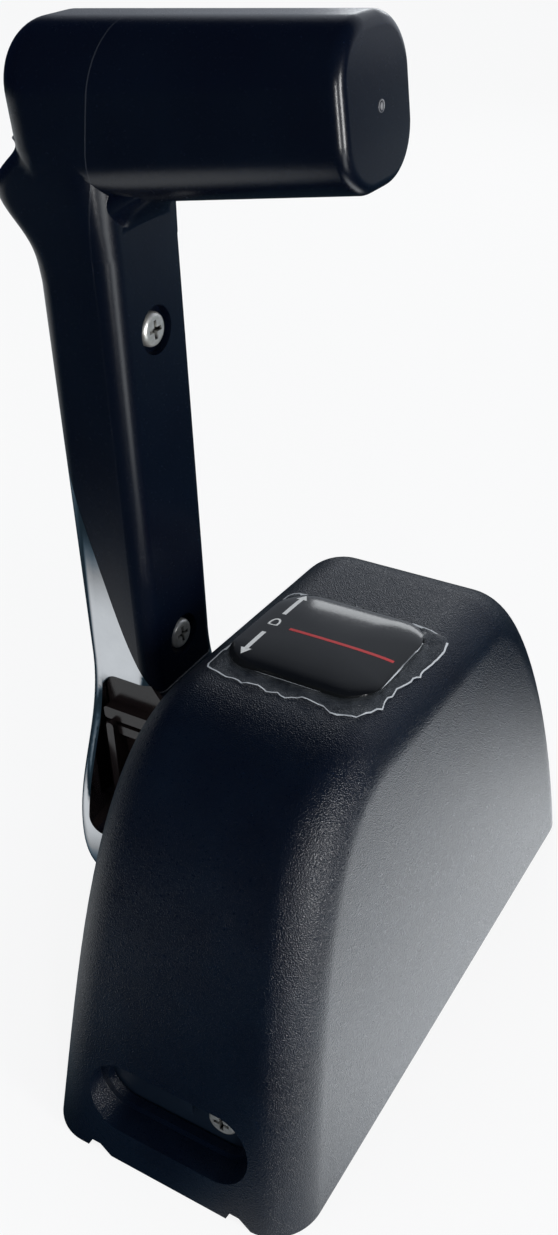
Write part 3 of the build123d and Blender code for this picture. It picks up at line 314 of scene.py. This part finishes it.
white_ink = ink("white ink", (0.80, 0.80, 0.78), 0.4)
red_ink = ink("red ink", (0.55, 0.012, 0.015), 0.4)
clear_film = clear_sheet()
milky_film = ink("whitened film edge", (0.50, 0.52, 0.54), 0.3)
scuffed = satin_plastic("scuffed plastic", (0.05, 0.05, 0.055), (0.30, 0.30, 0.31), 0.3, 0.10 * mm)


# ---------------------------------------------------------------- bench work
def only(piece):
    """Leave one piece selected and active."""
    bpy.ops.object.select_all(action="DESELECT")
    piece.select_set(True)
    bpy.context.view_layer.objects.active = piece


def set_place(piece):
    """Put a piece's place, turn and size into its mesh."""
    only(piece)
    bpy.ops.object.transform_apply(location=True, rotation=True, scale=True)


def settle(piece, name, finish, body):
    """Name, finish and seat a piece that is shaped in its place."""
    set_place(piece)
    piece.name = name
    piece.data.name = name
    piece.data.materials.clear()
    piece.data.materials.append(finish)
    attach(piece, body)
    return piece


def pick(piece, test, mode="FACE"):
    """Select the faces, edges or vertices that pass the test of their middle and normal or run."""
    bpy.ops.object.mode_set(mode="EDIT")
    bpy.ops.mesh.select_mode(type=mode)
    bpy.ops.mesh.select_all(action="DESELECT")
    shape = bmesh.from_edit_mesh(piece.data)
    if mode == "FACE":
        for face in shape.faces:
            face.select_set(test(face.calc_center_median(), face.normal))
    elif mode == "EDGE":
        for edge in shape.edges:
            start, end = (vert.co for vert in edge.verts)
            edge.select_set(test((start + end) / 2, start - end))
    else:
        for vert in shape.verts:
            vert.select_set(test(vert.co, vert.normal))
    shape.select_flush_mode()
    bmesh.update_edit_mesh(piece.data)


body_of = {}
for body_name, members in frame["record"]["behaviour"]["bodies"].items():
    for member in members:
        body_of[member] = body_name
slot_of = {entry["node"]: entry["material_slot"] for entry in frame["record"]["subparts"]}
weld_reach = 0.002 * mm
sharp_from = math.radians(32)


def polished(node):
    """A welded and smoothed copy of a CAD piece that stands for it."""
    source = frame["nodes"][node]
    piece = source.copy()
    piece.data = source.data.copy()
    bpy.context.scene.collection.objects.link(piece)
    piece.parent = None
    for key in [key for key in piece.keys() if key.startswith("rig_")]:
        del piece[key]
    only(piece)
    bpy.ops.object.mode_set(mode="EDIT")
    bpy.ops.mesh.select_all(action="SELECT")
    bpy.ops.mesh.remove_doubles(threshold=weld_reach)
    bpy.ops.mesh.customdata_custom_splitnormals_clear()
    bpy.ops.object.mode_set(mode="OBJECT")
    bpy.ops.object.shade_smooth_by_angle(angle=sharp_from)
    settle(piece, node + "_finished", finishes[slot_of[node]], body_of[node])
    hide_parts(node)
    return piece


for node, thing in frame["nodes"].items():
    thing.data.materials.clear()
    thing.data.materials.append(finishes[slot_of[node]])

for node in ("housing_cover", "lever_arm", "handle_back", "grip", "lever_cover", "hub_insert", "trim_rocker",
             "throttle_button", "button_ring", "bracket_panel", "lever_cover_screws", "bracket_screw"):
    polished(node)
# the springs shorten between their seats
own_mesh(polished("button_spring"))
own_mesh(polished("detent_spring"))

# ---------------------------------------------------------------- domed badge
top_tilt = math.radians(-2.6)
badge_middle = Vector((0.0, -0.0020, 0.11409))
badge_width = 44 * mm
badge_length = 41 * mm
badge_thick = 2.1 * mm
badge_corner = 10 * mm
badge_corner_steps = 10
# each ring of the dome: its size as a share of the ring outside it, and its rise in mm
dome_rings = (
    (0.975, 0.24), (0.965, 0.20), (0.94, 0.22), (0.88, 0.24), (0.78, 0.22), (0.62, 0.14), (0.4, 0.04))


def rounded_slab(width, length, thick, corner, steps):
    """Slab with rounded upright corners, centred on the origin, with its underside at zero."""
    bpy.ops.object.select_all(action="DESELECT")
    bpy.ops.mesh.primitive_cube_add(size=1, location=(0, 0, thick / 2))
    slab = bpy.context.active_object
    slab.scale = (width, length, thick)
    set_place(slab)
    pick(slab, lambda middle, run: abs(run.z) > thick * 0.9, "EDGE")
    bpy.ops.mesh.bevel(offset=corner, segments=steps, affect="EDGES")
    return slab


def lay_on_top(piece):
    """Carry a piece from the origin to the housing's sloping top."""
    bpy.ops.object.mode_set(mode="OBJECT")
    piece.rotation_euler = (top_tilt, 0, 0)
    piece.location = badge_middle
    set_place(piece)


badge = rounded_slab(badge_width, badge_length, badge_thick, badge_corner, badge_corner_steps)
pick(badge, lambda middle, normal: normal.z > 0.9)
for shrink, rise in dome_rings:
    bpy.ops.mesh.inset(thickness=0.02 * mm, depth=0)
    bpy.ops.transform.resize(value=(shrink, shrink, 1), center_override=(0, 0, 0))
    bpy.ops.transform.translate(value=(0, 0, rise * mm))
lay_on_top(badge)
bpy.ops.object.shade_smooth_by_angle(angle=math.radians(50))
settle(badge, "badge_domed", finishes["badge_plastic"], "housing")
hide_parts("badge_plate")

# ---------------------------------------------------------------- marks printed on the badge
marks_side = -16.4 * mm
marks_above = 6 * mm
print_cuts = 11
print_thick = 0.05 * mm
neutral_middle = 0.2 * mm
neutral_flat = -0.8 * mm
rule_middle = (4.5 * mm, -0.8 * mm)
rule_length = 31 * mm
rule_thick = 1.1 * mm


def drop_onto(piece, target, gap, both_ways):
    """Lay each vertex of a piece on the target below it, with a gap."""
    wrap = piece.modifiers.new("wrap", "SHRINKWRAP")
    wrap.target = target
    wrap.wrap_method = "PROJECT"
    wrap.use_project_z = True
    wrap.use_negative_direction = True
    wrap.use_positive_direction = both_ways
    wrap.offset = gap
    bpy.ops.object.modifier_apply(modifier="wrap")


def printed(piece, name, finish):
    """Lay a flat shape on the domed badge as a print."""
    only(piece)
    bpy.ops.object.mode_set(mode="EDIT")
    bpy.ops.mesh.select_all(action="SELECT")
    bpy.ops.mesh.quads_convert_to_tris()
    bpy.ops.mesh.subdivide(number_cuts=print_cuts)
    lay_on_top(piece)
    drop_onto(piece, badge, print_thick, True)
    return settle(piece, name, finish, "housing")


def arrow(tip, tail):
    """Flat arrow along Y, from its tail to its tip in mm, in the column of marks."""
    shaft_width, head_radius, head_back, shaft_short = 1.3 * mm, 1.9 * mm, 1.1, 1.6
    point = 1 if tip > tail else -1
    shaft_middle = (tip + tail - point * shaft_short) / 2 * mm
    bpy.ops.object.select_all(action="DESELECT")
    bpy.ops.mesh.primitive_plane_add(size=1, location=(marks_side, shaft_middle, marks_above))
    shaft = bpy.context.active_object
    shaft.scale = (shaft_width, (abs(tip - tail) - shaft_short) * mm, 1)
    bpy.ops.mesh.primitive_circle_add(
        vertices=3, radius=head_radius, fill_type="NGON",
        location=(marks_side, (tip - point * head_back) * mm, marks_above),
        rotation=(0, 0, 0 if point > 0 else math.pi))
    shaft.select_set(True)
    bpy.context.view_layer.objects.active = shaft
    bpy.ops.object.join()
    set_place(shaft)
    return shaft


def neutral_ring():
    """Open ring between the arrows, rounded towards the rear and flat towards the front."""
    bpy.ops.object.select_all(action="DESELECT")
    bpy.ops.mesh.primitive_circle_add(
        vertices=24, radius=1.9 * mm, fill_type="NOTHING",
        location=(marks_side, neutral_middle, marks_above))
    ring = bpy.context.active_object
    ring.scale = (0.85, 1.35, 1)
    set_place(ring)
    pick(ring, lambda spot, normal: spot.y < -0.4 * mm, "VERT")
    bpy.ops.transform.resize(value=(1, 0.12, 1), center_override=(marks_side, neutral_flat, marks_above))
    bpy.ops.mesh.select_all(action="SELECT")
    bpy.ops.mesh.extrude_edges_move()
    bpy.ops.transform.resize(value=(0.62, 0.72, 1), center_override=(marks_side, 0.4 * mm, marks_above))
    bpy.ops.object.mode_set(mode="OBJECT")
    return ring


def plain_rule():
    """Thin rule across the badge."""
    bpy.ops.object.select_all(action="DESELECT")
    bpy.ops.mesh.primitive_plane_add(size=1, location=(*rule_middle, marks_above))
    rule = bpy.context.active_object
    rule.scale = (rule_length, rule_thick, 1)
    set_place(rule)
    return rule


printed(arrow(17.0, 5.4), "ahead_arrow", white_ink)
printed(arrow(-16.0, -4.9), "astern_arrow", white_ink)
printed(neutral_ring(), "neutral_mark", white_ink)
printed(plain_rule(), "red_rule", red_ink)

# ---------------------------------------------------------------- clear film round the badge
film_steps = 120
film_above = 8 * mm
film_gap = 0.34 * mm
film_thick = 0.05 * mm
# widths of the whitened strips, in mm: the torn edge's own, and the widest that is whitened
strip_width = 0.36
widest_strip = 0.62
# reach to the left, right, front and rear in mm, and how square the corners are
torn_reach = (23.2, 26.0, 26.2, 20.8)
torn_square = 12
fold_line = (22.7, 23.6, 22.6, 20.7, 6)
foot_line = (22.3, 22.3, 20.9, 20.6, 4.6)
badge_line = (21.9, 21.9, 20.4, 20.3, 4.4)
# middle of each ripple along the torn edge, and its lift, in mm
front_ripples = ((-25.8, 0.5), (-21.0, 0.3), (-15.0, 0.0), (-7.0, 0.6), (1.0, 0.1), (8.0, 0.7), (15.0, 0.2),
                 (22.0, 1.1))
right_ripples = ((-22.0, 0.6), (-12.0, 0.2), (-4.0, 0.5), (6.0, 0.1), (13.0, 0.9), (18.0, 1.3))


def edge_point(turn, left, right, front, rear, square):
    """Point, in mm, of a rounded rectangle's outline at an angle about the badge's middle."""
    side = right if math.cos(turn) > 0 else left
    end = rear if math.sin(turn) > 0 else front
    along = (abs(math.cos(turn) / side) ** square + abs(math.sin(turn) / end) ** square) ** (-1 / square)
    return along * math.cos(turn), along * math.sin(turn)


def tear(turn):
    """Distance, in mm, that the torn edge stands out, most at the front right corner."""
    rough = (math.sin(7 * turn + 1) + 0.7 * math.sin(13 * turn + 2)
             + 0.8 * math.sin(29 * turn) + 0.5 * math.sin(41 * turn))
    front = max(0.0, math.cos(turn + 1.15)) ** 2
    return (0.16 + 0.42 * front) * rough


def torn_edge(turn, inward):
    """Point, in mm, of the torn outer edge, or of a line a little inside it."""
    out = tear(turn) - inward
    return edge_point(turn, *(reach + out for reach in torn_reach), torn_square)


def carry(piece, target):
    """Move each selected vertex, one by one, to its own target."""
    shape = bmesh.from_edit_mesh(piece.data)
    chosen = [vert.index for vert in shape.verts if vert.select]
    for index in chosen:
        bpy.ops.mesh.select_all(action="DESELECT")
        shape = bmesh.from_edit_mesh(piece.data)
        shape.verts.ensure_lookup_table()
        vert = shape.verts[index]
        vert.select_set(True)
        bpy.ops.transform.translate(value=target(vert.co) - vert.co)
    shape = bmesh.from_edit_mesh(piece.data)
    shape.verts.ensure_lookup_table()
    for index in chosen:
        shape.verts[index].select_set(True)
    shape.select_flush_mode()
    bmesh.update_edit_mesh(piece.data)


def on_outline(point):
    """Target that lies on an outline, at the vertex's own angle about the badge's middle."""
    def target(spot):
        x, y = point(math.atan2(spot.y, spot.x))
        return Vector((x * mm, y * mm, film_above))
    return target


def askew(spot):
    """Target that widens the film's right side towards the rear."""
    beyond = min(1.0, max(0.0, (spot.x - 22 * mm) / (3 * mm)))
    return Vector((spot.x + 0.085 * spot.y * beyond, spot.y, spot.z))


def off_badge(spot):
    """How far a film vertex stands from the badge's outline, in mm."""
    x, y = (spot.x - badge_middle.x) / mm, (spot.y - badge_middle.y) / mm
    return math.hypot(x, y) - math.hypot(*edge_point(math.atan2(y, x), *badge_line))


def lift_where(piece, test, height):
    """Raise the vertices whose place passes the test by a height in mm."""
    pick(piece, lambda spot, normal: test(spot), "VERT")
    bpy.ops.transform.translate(value=(0, 0, height * mm))


def whiten_edges(piece, finish):
    """Give the narrow strips along the film's edges the whitened finish."""
    piece.data.materials.append(finish)
    bpy.ops.mesh.select_mode(type="FACE")
    bpy.ops.mesh.select_all(action="DESELECT")
    shape = bmesh.from_edit_mesh(piece.data)
    for face in shape.faces:
        face.select_set(min(edge.calc_length() for edge in face.edges) < widest_strip * mm)
    bmesh.update_edit_mesh(piece.data)
    piece.active_material_index = 1
    bpy.ops.object.material_slot_assign()


bpy.ops.object.select_all(action="DESELECT")
bpy.ops.mesh.primitive_circle_add(
    vertices=film_steps, radius=50 * mm, fill_type="NOTHING", location=(0, 0, 0))
film = bpy.context.active_object
only(film)
bpy.ops.object.mode_set(mode="EDIT")
bpy.ops.mesh.select_mode(type="VERT")
bpy.ops.mesh.select_all(action="SELECT")
carry(film, on_outline(lambda turn: torn_edge(turn, 0.0)))
for outline in (lambda turn: torn_edge(turn, strip_width),
                lambda turn: edge_point(turn, *fold_line),
                lambda turn: edge_point(turn, *foot_line),
                lambda turn: edge_point(turn, *badge_line)):
    bpy.ops.mesh.extrude_edges_move()
    carry(film, on_outline(outline))
bpy.ops.mesh.select_all(action="SELECT")
carry(film, askew)
lay_on_top(film)
drop_onto(film, bpy.data.objects["housing_cover_finished"], film_gap, False)
settle(film, "clear_film", clear_film, "housing")
lift_where(film, lambda spot: off_badge(spot) < 0.2, 1.35)
lift_where(film, lambda spot: 0.2 <= off_badge(spot) < 0.62, 1.1)
for side, lift in front_ripples:
    lift_where(film, lambda spot: spot.y < -24 * mm and abs(spot.x / mm - side) < 2.4, lift)
for side, lift in right_ripples:
    lift_where(film, lambda spot: spot.x > 24 * mm and abs(spot.y / mm - side) < 3.0, lift)
whiten_edges(film, milky_film)
bpy.ops.mesh.select_all(action="SELECT")
bpy.ops.mesh.normals_make_consistent(inside=False)
bpy.ops.object.mode_set(mode="OBJECT")
thicken = film.modifiers.new("thickness", "SOLIDIFY")
thicken.thickness = film_thick
thicken.offset = 0
bpy.ops.object.modifier_apply(modifier="thickness")
bpy.ops.object.shade_smooth_by_angle(angle=math.radians(40))

# ---------------------------------------------------------------- sprue mark on the grip's end
sprue_sunk = 0.04 * mm
sprue_radius = 1.2 * mm
sprue_line = Vector((0.1, -0.0027, 0.2523))

bpy.ops.object.select_all(action="DESELECT")
bpy.ops.mesh.primitive_torus_add(
    major_radius=sprue_radius, minor_radius=0.16 * mm, major_segments=28, minor_segments=8,
    location=(0, 0, 0), rotation=(0, math.radians(90), 0))
sprue = bpy.context.active_object
set_place(sprue)
bpy.ops.object.select_all(action="DESELECT")
bpy.ops.mesh.primitive_ico_sphere_add(subdivisions=2, radius=0.75 * mm, location=(0, 0.1 * mm, -0.1 * mm))
stub = bpy.context.active_object
stub.scale = (0.35, 0.9, 1.2)
set_place(stub)
sprue.select_set(True)
bpy.context.view_layer.objects.active = sprue
bpy.ops.object.join()
landing = bpy.data.objects["grip_finished"].ray_cast(sprue_line, Vector((-1, 0, 0)))[1]
sprue.location = (landing.x - sprue_sunk, landing.y, landing.z)
settle(sprue, "grip_sprue_mark", scuffed, "lever")
bpy.ops.object.shade_smooth()

# ---------------------------------------------------------------- bench and room
paper_white = (0.86, 0.86, 0.86, 1)
paper_glow = 0.86
mirrored_base = 0.035
pool_core, pool_rim = 0.4, 1.15
# middle and reach along X and Y in metres, and strength
mirrored_pools = (
    ((0.065, 0.025), (0.085, 0.15), 2.25),
    ((0.37, -0.17), (0.15, 0.10), 2.5),
    ((0.64, -0.28), (0.24, 0.14), 3.2),
    ((-0.165, -0.11), (0.115, 0.10), 0.74),
    ((-0.85, 0.10), (0.50, 0.70), 0.6),
    ((0.60, 1.10), (0.70, 0.90), 0.24),
)
room_tone = (0.80, 0.84, 0.90, 1)
room_strength = 0.75
mirrored_sky = (0.0, 0.95, 0.10)


def vector_step(tree, operation, source, amount=None):
    """One step of arithmetic on a vector."""
    step = tree.nodes.new("ShaderNodeVectorMath")
    step.operation = operation
    tree.links.new(source, step.inputs[0])
    if amount is not None:
        step.inputs[1].default_value = amount
    return step.outputs["Value" if operation in ("LENGTH", "DOT_PRODUCT") else "Vector"]


def pool(tree, place, centre, reach, strength):
    """Soft oval of light on the bench."""
    shifted = vector_step(tree, "SUBTRACT", place.outputs["Object"], (*centre, 0))
    squeezed = vector_step(tree, "DIVIDE", shifted, (*reach, 1))
    away = vector_step(tree, "LENGTH", squeezed)
    return span(tree, away, strength, 0.0, pool_core, pool_rim, soft=True)


def seen_rays(tree, ray):
    """One for camera and transmission rays, nought for others."""
    return worked(tree, "MAXIMUM", ray.outputs["Is Camera Ray"], ray.outputs["Is Transmission Ray"])


def mixed_shader(tree, share, first, second):
    """Two shaders mixed by a node value."""
    mix = tree.nodes.new("ShaderNodeMixShader")
    tree.links.new(share, mix.inputs["Fac"])
    tree.links.new(first, mix.inputs[1])
    tree.links.new(second, mix.inputs[2])
    return mix.outputs["Shader"]


def bench_paper():
    """White paper that takes a shadow; glossy rays meet a dark bench with soft pools of light instead."""
    paper = bpy.data.materials.new("white paper")
    paper.use_nodes = True
    tree = paper.node_tree
    tree.nodes.clear()
    out = tree.nodes.new("ShaderNodeOutputMaterial")
    matt = tree.nodes.new("ShaderNodeBsdfDiffuse")
    glow = tree.nodes.new("ShaderNodeEmission")
    mirrored = tree.nodes.new("ShaderNodeEmission")
    ray = tree.nodes.new("ShaderNodeLightPath")
    place = tree.nodes.new("ShaderNodeTexCoord")
    matt.inputs["Color"].default_value = paper_white
    glow.inputs["Color"].default_value = (1.0, 1.0, 1.0, 1)
    share = worked(tree, "MULTIPLY", seen_rays(tree, ray), paper_glow)
    seen = mixed_shader(tree, share, matt.outputs["BSDF"], glow.outputs["Emission"])
    light = mirrored_base
    for centre, reach, strength in mirrored_pools:
        light = worked(tree, "ADD", pool(tree, place, centre, reach, strength), light)
    tree.links.new(light, mirrored.inputs["Strength"])
    tone = ramp(tree, light, 0.06, 0.34, (0.40, 0.72, 1.0), (0.93, 0.97, 1.0))
    tree.links.new(tone, mirrored.inputs["Color"])
    surface = mixed_shader(tree, ray.outputs["Is Glossy Ray"], seen, mirrored.outputs["Emission"])
    tree.links.new(surface, out.inputs["Surface"])
    return paper


def room():
    """White room; glossy rays meet a dark sky that brightens towards the rear instead."""
    world = bpy.data.worlds.new("room")
    world.use_nodes = True
    tree = world.node_tree
    tree.nodes.clear()
    out = tree.nodes.new("ShaderNodeOutputWorld")
    seen_air = tree.nodes.new("ShaderNodeBackground")
    room_air = tree.nodes.new("ShaderNodeBackground")
    mirror_air = tree.nodes.new("ShaderNodeBackground")
    ray = tree.nodes.new("ShaderNodeLightPath")
    place = tree.nodes.new("ShaderNodeTexCoord")
    seen_air.inputs["Color"].default_value = (1, 1, 1, 1)
    room_air.inputs["Color"].default_value = room_tone
    room_air.inputs["Strength"].default_value = room_strength
    across = vector_step(tree, "DOT_PRODUCT", place.outputs["Generated"], mirrored_sky)
    tone = ramp(tree, across, 0.6, 1.0, (0.003, 0.008, 0.028), (0.84, 0.90, 1.0))
    tree.links.new(tone, mirror_air.inputs["Color"])
    unseen = mixed_shader(
        tree, ray.outputs["Is Glossy Ray"], room_air.outputs["Background"], mirror_air.outputs["Background"])
    surface = mixed_shader(tree, seen_rays(tree, ray), unseen, seen_air.outputs["Background"])
    tree.links.new(surface, out.inputs["Surface"])
    return world


bpy.ops.object.select_all(action="DESELECT")
bpy.ops.mesh.primitive_plane_add(size=6.0, location=(0, 0, -0.2 * mm))
floor = bpy.context.active_object
floor.name = "bench"
set_place(floor)
floor.data.materials.append(bench_paper())
bpy.context.scene.world = room()


# ---------------------------------------------------------------- lamps and camera
def softbox(name, place, aim, width, height, power, colour=(1, 1, 1)):
    """Rectangular lamp at a place, turned to a point."""
    lamp = bpy.data.lights.new(name, "AREA")
    lamp.shape = "RECTANGLE"
    lamp.size = width
    lamp.size_y = height
    lamp.energy = power
    lamp.color = colour
    holder = bpy.data.objects.new(name, lamp)
    bpy.context.scene.collection.objects.link(holder)
    holder.location = place
    turn = Vector(aim) - Vector(place)
    holder.rotation_euler = turn.to_track_quat("-Z", "Y").to_euler()


softbox("window right", (0.95, -0.22, 0.26), (0.03, -0.03, 0.12), 0.20, 0.45, 5.7)
softbox("window front right", (0.72, -0.80, 0.12), (0.03, -0.05, 0.10), 0.10, 0.5, 4.5)
softbox("ceiling rear", (-0.30, 1.05, 0.50), (0, 0, 0.1), 0.5, 0.16, 0.8, (0.95, 0.98, 1.0))

shot = bpy.data.cameras.new("viewpoint")
shot.sensor_fit = "VERTICAL"
shot.sensor_height = 36.0
shot.lens = 37.895
shot.clip_start = 0.01
viewer = bpy.data.objects.new("viewpoint", shot)
bpy.context.scene.collection.objects.link(viewer)
viewer.location = (0.13981, -0.24887, 0.31010)
viewer.rotation_euler = (0.9912738, 0.0344563, 0.5361407)
bpy.context.scene.camera = viewer
bpy.context.scene.view_settings.view_transform = "Standard"
